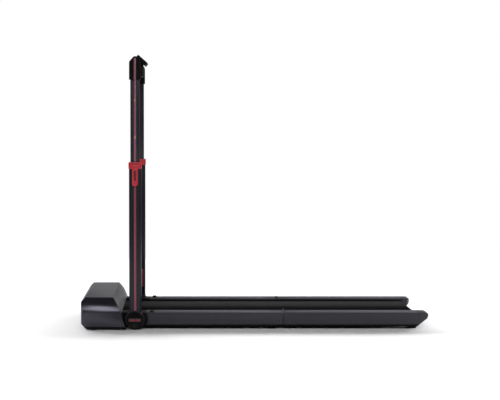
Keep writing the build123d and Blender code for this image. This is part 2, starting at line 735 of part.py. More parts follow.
def on_face(u0, u1, y0, y1, h0, h1):
    """A box on the console: down its face, across it, and height from the face."""
    return POD * Pos((u0 + u1) / 2, (y0 + y1) / 2, (h0 + h1) / 2) * Box(u1 - u0, y1 - y0, h1 - h0)


def console_shell():
    w = POD_WALL
    part = on_face(0, POD_LENGTH, -POD_HALF, POD_HALF, -POD_THICK, 0)
    part = part - on_face(w, POD_LENGTH - w, -POD_HALF + w, POD_HALF - w, -POD_THICK + w, -w)
    part = part - on_face(*WINDOW_DOWN, -WINDOW_HALF, WINDOW_HALF, -w - 0.1, 1)
    for y in BUTTON_Y:
        part = part - POD * Pos(BUTTON_DOWN, y, -1.5) * Cylinder(BUTTON_R + 0.4, 5)
    return part


def console_window():
    u0, u1 = WINDOW_DOWN
    return on_face(u0 + 0.2, u1 - 0.2, -WINDOW_HALF + 0.2, WINDOW_HALF - 0.2, -2.2, -0.2)


def console_button(index):
    cap = POD * Pos(BUTTON_DOWN, BUTTON_Y[index], -2.2) * Cylinder(BUTTON_R, 6)
    return cap + POD * Pos(BUTTON_DOWN, BUTTON_Y[index], -4.6) * Cylinder(BUTTON_R + 0.8, 1.2)


def under_pod(station):
    """Height just below the console's underside at a station."""
    start = POD.from_local_coords(Vector(0, 0, -POD_THICK - 0.3))
    return start.Z - (sta(station) - start.X) * tan(radians(POD_TILT))


def console_neck():
    """Saddle that carries the console on the crossbar."""
    points = [(204, 1056), (250, 1056), (250, under_pod(250)), (222, under_pod(222)), (204, 1120)]
    return side_prism(points, -60, 60) - rod_y(POST_STA, BAR_Z, BAR_R, -70, 70)


# ---- nodes ----------------------------------------------------------------------------------------
def build():
    """Every node's shape by its name."""
    front_span = (BOARD_FRONT_STA, FOLD_STA - 6)
    rear_span = (FOLD_STA + 6, BOARD_TAIL_STA)
    front_feet = [foot(793, 25, BEAM_BOTTOM), fold_bumper()]
    rear_feet = [foot(880, 25, BEAM_BOTTOM), foot(1381, 32, BEAM_BOTTOM)]
    nodes = {
        "hood_cover": hood_cover(),
        "hood_base": hood_base(),
        "front_rubber_feet": group(hood_feet() + front_feet + [left(pad) for pad in front_feet]),
        "rear_rubber_feet": group(rear_feet + [left(pad) for pad in rear_feet]),
        "inlet_panel": inlet_panel(),
        "switch_rocker": switch_rocker(),
        "front_axles": group([wheel_axle(1), wheel_axle(-1), roller_axle(FRONT_ROLLER_STA)]),
        "rear_roller_axle": roller_axle(REAR_ROLLER_STA),
        "motor_can": motor_can(),
        "motor_rotor": motor_rotor(),
        "motor_saddles": motor_saddles(),
        "drive_belt": drive_belt(),
        "motor_controller": motor_controller(),
        "control_board": control_board(),
        "front_roller": roller(FRONT_ROLLER_STA, True),
        "rear_roller": roller(REAR_ROLLER_STA, False),
        "front_roller_bearings": roller_bearings(FRONT_ROLLER_STA),
        "rear_roller_bearings": roller_bearings(REAR_ROLLER_STA),
        "belt_front": belt_half(FRONT_ROLLER_STA, FOLD_STA - 6, 1),
        "belt_rear": belt_half(REAR_ROLLER_STA, FOLD_STA + 6, -1),
        "front_deck_board": deck_board(*front_span),
        "rear_deck_board": deck_board(*rear_span),
        "front_crossmembers": group([crossmember(s) for s in (260, 520, 780)]),
        "rear_crossmembers": group([crossmember(s) for s in (905, 1115, 1330)]),
        "rear_hinge_leaves": pair(hinge_leaf(1, (sum(HINGE_Y) / 2 - KNUCKLE / 2,))),
        "front_hinge_leaves": pair(hinge_leaf(-1, (HINGE_Y[0], HINGE_Y[1] - KNUCKLE))),
        "lower_trim": group([lower_stripe(), left(lower_stripe()), accent_bar(), left(accent_bar())]),
        "upper_trim": group([upper_stripe(), left(upper_stripe()), cap_stripe(), left(cap_stripe())]),
        "crossbar": crossbar(),
        "console_shell": console_shell(),
        "console_neck": console_neck(),
        "console_window": console_window(),
    }
    for number in range(len(BUTTON_Y)):
        nodes["console_button_%d" % (number + 1)] = console_button(number)
    pairs = {
        "hood_end_caps": hood_end_cap(), "front_beams": front_beam(), "rear_beams": rear_beam(),
        "front_rails": front_rail(), "rear_rails": rear_rail(), "tail_caps": tail_cap(),
        "hinge_pins": hinge_pin(), "pivot_brackets": pivot_bracket(),
        "pivot_covers": pivot_cover(), "pivot_hubs": hub(), "lower_posts": lower_post(),
        "guide_bushes": guide_bush(), "clamp_collars": clamp_collar(), "lever_pins": lever_pin(),
        "upper_posts": upper_post(), "post_glides": post_glide(), "top_caps": top_cap(),
        "grips": grip(),
    }
    for name, shape in pairs.items():
        nodes[name] = pair(shape)
    sided = {"transport_wheel": transport_wheel(), "clamp_lever": clamp_lever(), "lock_knob": lock_knob()}
    for name, shape in sided.items():
        nodes[name + "_right"] = shape
        nodes[name + "_left"] = left(shape)
    return nodes


os.makedirs("parts", exist_ok=True)
for node_name, node_shape in build().items():
    export_step(node_shape, os.path.join("parts", node_name + ".step"))
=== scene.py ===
"""Looks of a folding treadmill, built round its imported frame."""
import json
import logging
import math
from dataclasses import dataclass
from enum import Enum
from typing import Callable

import bmesh
import bpy
from mathutils import Matrix, Vector


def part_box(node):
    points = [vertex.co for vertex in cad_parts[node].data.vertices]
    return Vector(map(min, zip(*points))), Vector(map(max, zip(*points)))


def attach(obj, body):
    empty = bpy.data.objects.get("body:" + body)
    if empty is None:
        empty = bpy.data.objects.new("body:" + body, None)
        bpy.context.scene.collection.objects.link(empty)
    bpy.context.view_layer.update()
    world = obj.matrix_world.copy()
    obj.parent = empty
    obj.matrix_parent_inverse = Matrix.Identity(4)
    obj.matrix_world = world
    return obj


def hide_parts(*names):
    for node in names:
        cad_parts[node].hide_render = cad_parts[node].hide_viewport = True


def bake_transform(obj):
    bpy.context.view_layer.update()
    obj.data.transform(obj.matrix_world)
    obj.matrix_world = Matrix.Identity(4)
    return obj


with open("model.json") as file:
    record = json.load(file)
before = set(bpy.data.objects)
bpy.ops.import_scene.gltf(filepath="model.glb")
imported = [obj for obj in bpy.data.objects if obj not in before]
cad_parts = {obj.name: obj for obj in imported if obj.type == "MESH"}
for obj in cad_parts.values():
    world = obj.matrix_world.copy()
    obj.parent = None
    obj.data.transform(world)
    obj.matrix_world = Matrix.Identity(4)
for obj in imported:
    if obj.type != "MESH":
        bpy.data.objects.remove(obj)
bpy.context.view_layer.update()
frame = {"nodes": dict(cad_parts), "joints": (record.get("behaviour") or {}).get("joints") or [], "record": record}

Colour = tuple[float, float, float]
Point = tuple[float, float, float]
log = logging.getLogger("treadmill")


# ---- shader graph -------------------------------------------------------------------------


class Value:
    """A number or vector socket whose arithmetic adds Math nodes."""

    def __init__(self, graph: "Nodes", socket: bpy.types.NodeSocket) -> None:
        """Wraps a socket.

        Args:
            graph: The tree that the socket is in.
            socket: The output socket.
        """
        self.graph = graph
        self.socket = socket

    def math(self, operation: str, *others: "Value | float") -> "Value":
        """Applies a Math node to this value.

        Args:
            operation: The Math node's operation.
            others: The node's further inputs.

        Returns:
            The node's result.
        """
        inputs = {n: item for n, item in enumerate((self, *others))}
        return self.graph.out("ShaderNodeMath", {"operation": operation}, inputs)

    def __add__(self, other: "Value | float") -> "Value":
        """Sum."""
        return self.math("ADD", other)

    def __radd__(self, other: float) -> "Value":
        """Sum with a number first."""
        return self.math("ADD", other)

    def __sub__(self, other: "Value | float") -> "Value":
        """Difference."""
        return self.math("SUBTRACT", other)

    def __rsub__(self, other: float) -> "Value":
        """Difference with a number first."""
        return (self * -1.0) + other

    def __mul__(self, other: "Value | float") -> "Value":
        """Product."""
        return self.math("MULTIPLY", other)

    def __rmul__(self, other: float) -> "Value":
        """Product with a number first."""
        return self.math("MULTIPLY", other)

    def __truediv__(self, other: "Value | float") -> "Value":
        """Quotient."""
        return self.math("DIVIDE", other)

    def __pow__(self, other: float) -> "Value":
        """Power."""
        return self.math("POWER", other)

    def sin(self) -> "Value":
        """Sine, for an angle in radians."""
        return self.math("SINE")

    def clamp(self) -> "Value":
        """The value kept between 0 and 1."""
        return self.math("MAXIMUM", 0.0).math("MINIMUM", 1.0)

    def between(self, low: float, high: float) -> "Value":
        """0 at low and 1 at high, in a straight line and clamped."""
        return ((self - low) * (1.0 / (high - low))).clamp()


class Nodes:
    """A node tree that nodes are added to."""

    def __init__(self, tree: bpy.types.NodeTree) -> None:
        """Wraps a tree.

        Args:
            tree: The node tree.
        """
        self.tree = tree

    def node(self, kind: str, settings: dict | None = None, inputs: dict | None = None) -> bpy.types.Node:
        """Adds a node.

        Args:
            kind: The node's type.
            settings: Its properties.
            inputs: Values or links of its sockets, by name or number.

        Returns:
            The node.
        """
        made = self.tree.nodes.new(kind)
        for key, item in (settings or {}).items():
            setattr(made, key, item)
        for key, item in (inputs or {}).items():
            self.feed(made.inputs[key], item)
        return made

    def feed(self, socket: bpy.types.NodeSocket, item: object) -> None:
        """Links or sets one input socket.

        Args:
            socket: The input.
            item: A value to link, or a number, a vector or a colour to set.
        """
        if isinstance(item, Value):
            self.tree.links.new(item.socket, socket)
        elif isinstance(item, tuple) and len(item) == 3 and socket.type == "RGBA":
            socket.default_value = (*item, 1.0)
        else:
            socket.default_value = item

    def out(self, kind: str, settings: dict | None = None, inputs: dict | None = None,
            output: str | int = 0) -> Value:
        """Adds a node.

        Args:
            kind: The node's type.
            settings: Its properties.
            inputs: Values or links of its sockets, by name or number.
            output: The output that is wanted, by name or number.

        Returns:
            That output.
        """
        return Value(self, self.node(kind, settings, inputs).outputs[output])

    def split(self, vector: Value) -> tuple[Value, Value, Value]:
        """Parts a vector.

        Args:
            vector: The vector.

        Returns:
            Its X, Y and Z.
        """
        parts = self.node("ShaderNodeSeparateXYZ", None, {0: vector})
        return Value(self, parts.outputs[0]), Value(self, parts.outputs[1]), Value(self, parts.outputs[2])


class Graph(Nodes):
    """One material's node tree, with one Principled shader."""

    def __init__(self, name: str) -> None:
        """Starts a material.

        Args:
            name: The material's name.
        """
        self.material = bpy.data.materials.new(name)
        self.material.use_nodes = True
        super().__init__(self.material.node_tree)
        self.shader = self.tree.nodes["Principled BSDF"]

    def place(self, stretch: Point = (1.0, 1.0, 1.0)) -> Value:
        """Object coordinates, stretched along the axes.

        Args:
            stretch: Factors along the axes.

        Returns:
            The coordinates.
        """
        where = self.out("ShaderNodeTexCoord", output="Object")
        return self.out("ShaderNodeMapping", inputs={"Vector": where, "Scale": stretch})

    def noise(self, where: Value, scale: float, detail: float = 2.0, rough: float = 0.5) -> Value:
        """Noise from 0 to 1.

        Args:
            where: The coordinates.
            scale: Its fineness.
            detail: Number of finer layers.
            rough: Strength of those layers.

        Returns:
            The noise.
        """
        inputs = {"Vector": where, "Scale": scale, "Detail": detail, "Roughness": rough}
        return self.out("ShaderNodeTexNoise", inputs=inputs, output="Fac")

    def cells(self, where: Value, scale: float) -> Value:
        """Distance to the nearest of scattered points.

        Args:
            where: The coordinates.
            scale: How close the points are.

        Returns:
            The distance.
        """
        inputs = {"Vector": where, "Scale": scale}
        return self.out("ShaderNodeTexVoronoi", inputs=inputs, output="Distance")

    def mix(self, share: Value, low: "Colour | Value", high: "Colour | Value") -> Value:
        """Colour between two others.

        Args:
            share: 0 for the first colour and 1 for the second.
            low: The first colour.
            high: The second colour.

        Returns:
            The colour.
        """
        node = self.node("ShaderNodeMix", {"data_type": "RGBA"})
        self.feed(node.inputs[0], share)
        self.feed(node.inputs[6], low)
        self.feed(node.inputs[7], high)
        return Value(self, node.outputs[2])

    def bump(self, height: Value, depth: float, strength: float = 1.0) -> None:
        """Feeds relief to the shader's normal.

        Args:
            height: The relief, from 0 to 1.
            depth: Its depth in metres.
            strength: How much of it shows.
        """
        node = self.node("ShaderNodeBump", None, {"Height": height, "Distance": depth, "Strength": strength})
        self.tree.links.new(node.outputs[0], self.shader.inputs["Normal"])

    def surface(self, **inputs: object) -> None:
        """Sets or links the shader's sockets.

        Args:
            inputs: Values or links by the socket's name, with underscores for its spaces.
        """
        for key, item in inputs.items():
            self.feed(self.shader.inputs[key.replace("_", " ")], item)


# ---- finishes -----------------------------------------------------------------------------


@dataclass(frozen=True)
class Finish:
    """A moulded or painted surface with a fine grain and a little unevenness."""

    name: str
    colour: Colour
    roughness: float = 0.5
    metallic: float = 0.0
    coat: float = 0.0
    coat_roughness: float = 0.2
    grain: float = 900.0
    grain_depth: float = 0.00006
    unevenness: float = 0.10
    specular: float = 0.5

    def shades(self) -> tuple[Colour, Colour]:
        """The finish's colour a little darker and a little lighter."""
        low = tuple(c * (1.0 - self.unevenness) for c in self.colour)
        high = tuple(min(1.0, c * (1.0 + self.unevenness)) for c in self.colour)
        return low, high

    def make(self) -> bpy.types.Material:
        """Builds the material.

        Returns:
            The material.
        """
        graph = Graph(self.name)
        graph.surface(Metallic=self.metallic, Coat_Weight=self.coat, Coat_Roughness=self.coat_roughness,
                      Specular_IOR_Level=self.specular)
        self.dress(graph)
        return graph.material

    def dress(self, graph: Graph) -> None:
        """Feeds colour, roughness and relief.

        Args:
            graph: The material's tree.
        """
        where = graph.place()
        broad = graph.noise(where, 9.0, 3.0)
        fine = graph.noise(where, self.grain, 2.0, 0.6)
        low, high = self.shades()
        graph.surface(Base_Color=graph.mix(broad, low, high),
                      Roughness=(self.roughness - 0.06) + broad * 0.08 + fine * 0.05)
        graph.bump(fine, self.grain_depth)


@dataclass(frozen=True)
class BrushedFinish(Finish):
    """Turned or brushed bare metal, streaked along one axis."""

    stretch: Point = (220.0, 4.0, 220.0)

    def dress(self, graph: Graph) -> None:
        """Feeds streaks to colour, roughness and relief.

        Args:
            graph: The material's tree.
        """
        streaks = graph.noise(graph.place(self.stretch), 6.0, 4.0, 0.65)
        low, high = self.shades()
        graph.surface(Base_Color=graph.mix(streaks, low, high),
                      Roughness=(self.roughness - 0.08) + streaks * 0.16)
        graph.bump(streaks, self.grain_depth)


@dataclass(frozen=True)
class RubberFinish(Finish):
    """Matte rubber with faint dust in its grain."""

    dust: Colour = (0.10, 0.095, 0.09)

    def dress(self, graph: Graph) -> None:
        """Feeds dusty mottling and a pebbled relief.

        Args:
            graph: The material's tree.
        """
        where = graph.place()
        broad = graph.noise(where, 30.0, 5.0, 0.7)
        pebble = graph.cells(where, self.grain)
        low, _ = self.shades()
        graph.surface(Base_Color=graph.mix(broad.between(0.45, 0.85) * 0.35, low, self.dust),
                      Roughness=(self.roughness - 0.05) + broad * 0.12)
        graph.bump(pebble, self.grain_depth)


@dataclass(frozen=True)
class FoamFinish(Finish):
    """Closed-cell foam sleeve."""

    def dress(self, graph: Graph) -> None:
        """Feeds open pores over a soft mottling.

        Args:
            graph: The material's tree.
        """
        where = graph.place()
        pores = graph.cells(where, self.grain).between(0.05, 0.55)
        broad = graph.noise(where, 60.0, 4.0)
        low, high = self.shades()
        graph.surface(Base_Color=graph.mix(pores * broad, low, high),
                      Roughness=(self.roughness - 0.04) + broad * 0.08)
        graph.bump(pores, self.grain_depth)


@dataclass(frozen=True)
class BeltFinish(Finish):
    """Running belt: fine crossed ribs that follow the belt's own map."""

    pitch: float = 0.0032

    def dress(self, graph: Graph) -> None:
        """Feeds a small diamond relief and a faint worn track.

        Args:
            graph: The material's tree.
        """
        track = graph.node("ShaderNodeUVMap", {"uv_map": "run"})
        along, across, _ = graph.split(Value(graph, track.outputs[0]))
        turn = 2.0 * math.pi / self.pitch
        one = ((along + across) * turn).sin()
        two = ((along - across) * turn).sin()
        ribs = (one * two) * 0.5 + 0.5
        where = Value(graph, track.outputs[0])
        dust = graph.noise(where, 14.0, 6.0, 0.7)
        worn = (across.math("ABSOLUTE") * -5.5 + 1.0).clamp()
        low, high = self.shades()
        share = (dust * 0.92 + worn * 0.08) * (0.75 + ribs * 0.25)
        graph.surface(Base_Color=graph.mix(share, low, high),
                      Roughness=(self.roughness - 0.04) + dust * 0.1)
        graph.bump(ribs, self.grain_depth)


@dataclass(frozen=True)
class BoardFinish(Finish):
    """Pressed fibre board with a waxed face."""

    def dress(self, graph: Graph) -> None:
        """Feeds short fibres to colour and relief.

        Args:
            graph: The material's tree.
        """
        fibres = graph.noise(graph.place((40.0, 40.0, 260.0)), 8.0, 6.0, 0.7)
        low, high = self.shades()
        graph.surface(Base_Color=graph.mix(fibres, low, high), Roughness=self.roughness + fibres * 0.1)
        graph.bump(fibres, self.grain_depth)


class Stock(Enum):
    """Every finish on the machine."""

    HOOD = Finish("hood_satin_grey", (0.072, 0.069, 0.080), 0.40, 0.35, 0.0, 0.22, 1100.0, 0.00003, 0.05,
                  specular=0.40)
    HOOD_SIDE = Finish("hood_side_grey", (0.048, 0.047, 0.061), 0.25, 0.80, 0.10, 0.2, 1100.0, 0.00002, 0.05,
                       specular=0.5)
    # Lighter, glossier copy of the hood side finish for the caps' rounded edges: its pale colour is a painted
    # highlight line.
    HOOD_EDGE = Finish("hood_polished_edge", (0.16, 0.16, 0.18), 0.22, 0.8, 0.3, 0.08, 1100.0, 0.00001, 0.05)
    BLACK = Finish("black_moulding", (0.0030, 0.0026, 0.0031), 0.50, 0.0, 0.0, 0.3, 1400.0, 0.00006, 0.12,
                   specular=0.10)
    GLOSS = Finish("black_gloss", (0.004, 0.0036, 0.004), 0.26, 0.0, 0.2, 0.08, 900.0, 0.00001, 0.08,
                   specular=0.3)
    RAIL = Finish("rail_grey", (0.036, 0.035, 0.044), 0.42, 0.0, 0.0, 0.25, 1300.0, 0.00005, 0.06,
                  specular=0.30)
    TAIL = Finish("tail_moulding", (0.034, 0.034, 0.041), 0.42, 0.0, 0.0, 0.25, 1300.0, 0.00004, 0.06,
                  specular=0.35)
    POST = Finish("post_navy_black", (0.0075, 0.0064, 0.0120), 0.34, 0.0, 0.1, 0.2, 1500.0, 0.00002, 0.06,
                  specular=0.25)
    RED = Finish("red_lacquer", (0.50, 0.018, 0.032), 0.36, 0.0, 0.25, 0.2, 1500.0, 0.00003, 0.05)
    # Dark copy of the lacquer red for the faces inside the levers' slots: painted shade in the recess.
    DEEP_RED = Finish("deep_red", (0.10, 0.001, 0.003), 0.6, 0.0, 0.0, 0.3, 1500.0, 0.00003, 0.08)
    INLAY_RED = Finish("knob_inlay_red", (0.20, 0.012, 0.028), 0.5, 0.0, 0.0, 0.3, 1500.0, 0.00003, 0.06)
    # Lighter copy of the post finish: the upper posts' extra lightness is painted light for the stronger front
    # light they catch.
    UPPER_POST = Finish("upper_post_navy", (0.0120, 0.0112, 0.0180), 0.34, 0.0, 0.2, 0.2, 1500.0,
                        0.00002, 0.06, specular=0.35)
    # Lighter copy of the stripe finish: the upper stripe's extra lightness is painted light for the stronger front
    # light it catches.
    UPPER_STRIPE = Finish("upper_stripe_red", (0.26, 0.085, 0.120), 0.34, 0.1, 0.2, 0.2, 1500.0,
                          0.00002, 0.05)
    STRIPE = Finish("stripe_red", (0.20, 0.036, 0.058), 0.34, 0.1, 0.2, 0.2, 1500.0, 0.00002, 0.05)
    RUBBER = RubberFinish("black_rubber", (0.012, 0.010, 0.010), 0.78, grain=900.0, grain_depth=0.00012,
                          specular=0.3)
    FOAM = FoamFinish("foam_sleeve", (0.010, 0.010, 0.011), 0.86, grain=1100.0, grain_depth=0.0003,
                      specular=0.3)
    BELT = BeltFinish("running_belt", (0.0125, 0.0118, 0.0122), 0.75, grain_depth=0.00015, unevenness=0.35,
                      specular=0.02)
    WINDOW = Finish("smoked_window", (0.006, 0.006, 0.008), 0.08, 0.0, 1.0, 0.03, 60.0, 0.000002, 0.05)
    STEEL = BrushedFinish("turned_steel", (0.42, 0.42, 0.43), 0.3, 1.0, grain_depth=0.00002)
    FRAME = Finish("black_powder_coat", (0.012, 0.012, 0.013), 0.5, 0.0, 0.1, 0.35, 700.0, 0.00012, 0.1)
    CAST = Finish("cast_alloy", (0.38, 0.38, 0.39), 0.45, 1.0, 0.0, 0.3, 800.0, 0.00012, 0.08)
    BOARD = BoardFinish("waxed_board", (0.20, 0.13, 0.075), 0.55, grain_depth=0.0001)
    CIRCUIT = Finish("circuit_green", (0.02, 0.09, 0.045), 0.4, 0.0, 0.4, 0.2, 300.0, 0.0001, 0.2)
    BRASS = BrushedFinish("brass_bush", (0.72, 0.50, 0.30), 0.35, 1.0, grain_depth=0.00002)

    def material(self) -> bpy.types.Material:
        """The finish's material, made once."""
        return bpy.data.materials.get(self.value.name) or self.value.make()


# ---- pieces -------------------------------------------------------------------------------


@dataclass
class Piece:
    """A new mesh under construction in the machine's frame."""

    name: str
    body: str
    slot: str
    stock: Stock

    def finish(self, mesh: bmesh.types.BMesh, bevel: float = 0.0, steps: int = 3, angle: float = 30.0,
               replaces: tuple[str, ...] = (), extra: tuple[Stock, ...] = (), edge: Stock | None = None,
               rides: bool = True) -> bpy.types.Object:
        """Makes the mesh an object that rides on its body.

        Args:
            mesh: The shape, freed here.
            bevel: Width of the rounding on its edges, in metres.
            steps: Segments of the rounding.
            angle: Edges sharper than this are rounded.
            replaces: CAD nodes that it stands for.
            extra: Finishes of its further material slots.
            edge: Finish of the rounded edges, where it differs.
            rides: False for a piece that is left unattached to its body.

        Returns:
            The object.
        """
        data = bpy.data.meshes.new(self.name)
        mesh.to_mesh(data)
        mesh.free()
        made = bpy.data.objects.new(self.name, data)
        bpy.context.scene.collection.objects.link(made)
        for stock in (self.stock, *extra, *([edge] if edge else ())):
            data.materials.append(stock.material())
        for face in data.polygons:
            face.use_smooth = True
        if bevel:
            soften = made.modifiers.new("edges", "BEVEL")
            soften.width = bevel
            soften.segments = steps
            soften.limit_method = "ANGLE"
            soften.angle_limit = math.radians(angle)
            soften.use_clamp_overlap = True
            soften.harden_normals = True
            soften.material = len(data.materials) - 1 if edge else -1
        if rides:
            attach(made, self.body)
        if replaces:
            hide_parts(*replaces)
        return made


def block(mesh: bmesh.types.BMesh, low: Point, high: Point) -> list[bmesh.types.BMVert]:
    """Adds a box between two corners.

    Args:
        mesh: The mesh it is added to.
        low: Lowest corner.
        high: Highest corner.

    Returns:
        Its corners.
    """
    size = Vector(high) - Vector(low)
    middle = (Vector(high) + Vector(low)) / 2
    matrix = Matrix.Translation(middle) @ Matrix.Diagonal((*size, 1.0))
    return bmesh.ops.create_cube(mesh, size=1.0, matrix=matrix)["verts"]


def drum(mesh: bmesh.types.BMesh, centre: Vector, axis: Vector, outline: list[tuple[float, float]],
         steps: int = 64) -> None:
    """Adds a turned shape.

    Args:
        mesh: The mesh it is added to.
        centre: A point on its axis.
        axis: The axis it is turned about.
        outline: Places along the axis with their radii. It starts and ends on the axis, or where
            it started, so that the shape is closed.
        steps: Facets round it.
    """
    side = axis.orthogonal().normalized()
    verts = [mesh.verts.new(centre + axis * along + side * radius) for along, radius in outline]
    edges = [mesh.edges.new(pair) for pair in zip(verts, verts[1:])]
    bmesh.ops.spin(mesh, geom=verts + edges, cent=centre, axis=axis, angle=2 * math.pi, steps=steps,
                   use_merge=True, use_duplicate=False)
    bmesh.ops.remove_doubles(mesh, verts=mesh.verts, dist=1e-6)
    bmesh.ops.recalc_face_normals(mesh, faces=mesh.faces)


def slot_of(node: str) -> str:
    """Material slot of a CAD node in the record.

    Args:
        node: The node.

    Returns:
        The slot's name.
    """
    return next(part["material_slot"] for part in frame["record"]["subparts"] if part["node"] == node)


def refined(node: str, body: str, stock: Stock, bevel: float, angle: float = 30.0, steps: int = 3,
            edge: Stock | None = None, inlay: Stock | None = None,
            where: Callable[[Vector], bool] | None = None, cut: float | None = None) -> bpy.types.Object:
    """A carried-over shape with its edges rounded as the moulded or rolled piece has them.

    Args:
        node: The CAD node it stands for.
        body: The body it rides on.
        stock: Its finish.
        bevel: Width of the rounding, in metres.
        angle: Edges sharper than this are rounded.
        steps: Segments of the rounding.
        edge: Finish of the rounded edges, where it differs.
        inlay: A second finish.
        where: Says whether a face with this middle has the second finish.
        cut: Height at which faces are divided between the two finishes.

    Returns:
        The object.
    """
    mesh = bmesh.new()
    mesh.from_mesh(frame["nodes"][node].data)
    bmesh.ops.remove_doubles(mesh, verts=mesh.verts, dist=2e-6)
    bmesh.ops.dissolve_limit(mesh, angle_limit=math.radians(0.6), verts=mesh.verts, edges=mesh.edges)
    if cut is not None:
        geometry = [*mesh.verts, *mesh.edges, *mesh.faces]
        bmesh.ops.bisect_plane(mesh, geom=geometry, plane_co=(0.0, 0.0, cut), plane_no=(0.0, 0.0, 1.0))
    extra = ()
    if inlay and where:
        extra = (inlay,)
        for face in mesh.faces:
            face.material_index = 1 if where(face.calc_center_median()) else 0
    piece = Piece(node + "_shell", body, slot_of(node), stock)
    return piece.finish(mesh, bevel, steps, angle, (node,), extra, edge)


@dataclass
class Studio:
    """Camera, light and floor."""

    floor_radius: float = 3.2
    distance: float = 6.424
    eye_height: float = 0.842
    eye_behind_front: float = 0.431
    lens: float = 112.5
    shift_x: float = 0.13
    tip: float = 2.70
    room_glow: float = 0.10
    front_glow: float = 5.5
    back_glow: float = 0.30
    low_light: float = 2.7
    low_light_height: float = 14.0
    low_light_softness: float = 22.0
    low_light_turns: tuple[float, ...] = (-44.0, -22.0, 0.0, 22.0, 44.0)
    box_sides: tuple[float, float] = (0.14, 0.26)
    box_foot: tuple[float, float] = (0.28, 0.40)
    box_head: tuple[float, float] = (0.74, 0.84)
    backdrop_head: tuple[float, float] = (0.30, 0.60)

    def camera(self) -> None:
        """Sets the camera at the side of the machine."""
        data = bpy.data.cameras.new("camera")
        data.lens = self.lens
        data.shift_x = self.shift_x
        eye = bpy.data.objects.new("camera", data)
        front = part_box("hood_end_caps")[0]
        eye.location = (front[0] + self.eye_behind_front, front[1] - self.distance, self.eye_height)
        eye.rotation_euler = (math.radians(90.0 - self.tip), 0.0, 0.0)
        bpy.context.scene.collection.objects.link(eye)
        bpy.context.scene.camera = eye

    def light(self) -> None:
        """Sets a soft box over the camera, a dim backdrop, a dark ceiling and a low light from behind."""
        world = bpy.data.worlds.new("studio")
        world.use_nodes = True
        room = Nodes(world.node_tree)
        wide, deep, high = room.split(room.out("ShaderNodeTexCoord", output="Generated"))
        middle = (1.0 - wide.math("ABSOLUTE").between(*self.box_sides)) * (deep * -1.0).between(0.0, 0.1)
        front = middle * high.between(*self.box_foot) * (1.0 - high.between(*self.box_head))
        back = deep.between(0.0, 0.5) * (1.0 - high.between(*self.backdrop_head)) * high.between(-0.05, 0.05)
        glow = front * self.front_glow + back * self.back_glow + self.room_glow
        lit = room.node("ShaderNodeBackground", None, {"Color": (1.0, 1.0, 1.0), "Strength": glow})
        seen = room.node("ShaderNodeBackground", None, {"Color": (1.0, 1.0, 1.0), "Strength": 1.0})
        path = room.out("ShaderNodeLightPath", output="Is Camera Ray")
        choice = room.node("ShaderNodeMixShader", None, {0: path})
        room.tree.links.new(lit.outputs[0], choice.inputs[1])
        room.tree.links.new(seen.outputs[0], choice.inputs[2])
        room.tree.links.new(choice.outputs[0], room.tree.nodes["World Output"].inputs["Surface"])
        bpy.context.scene.world = world
        bpy.context.scene.view_settings.view_transform = "Standard"
        for turn in self.low_light_turns:
            data = bpy.data.lights.new("low_light", "SUN")
            data.energy = self.low_light
            data.angle = math.radians(self.low_light_softness)
            lamp = bpy.data.objects.new("low_light", data)
            lamp.rotation_euler = (math.radians(self.low_light_height - 90.0), 0.0, math.radians(turn))
            lamp.visible_glossy = False
            bpy.context.scene.collection.objects.link(lamp)

    def floor(self) -> None:
        """Lays a plain pale round floor."""
        graph = Graph("studio_floor")
        graph.surface(Base_Color=(0.94, 0.93, 0.94), Roughness=0.9, Specular_IOR_Level=0.1)
        mesh = bmesh.new()
        bmesh.ops.create_circle(mesh, cap_ends=True, segments=96, radius=self.floor_radius)
        data = bpy.data.meshes.new("floor")
        mesh.to_mesh(data)
        mesh.free()
        data.materials.append(graph.material)
        made = bpy.data.objects.new("floor", data)
        bpy.context.scene.collection.objects.link(made)

    def build(self) -> None:
        """Sets up the whole studio."""
        self.camera()
        self.light()
        self.floor()


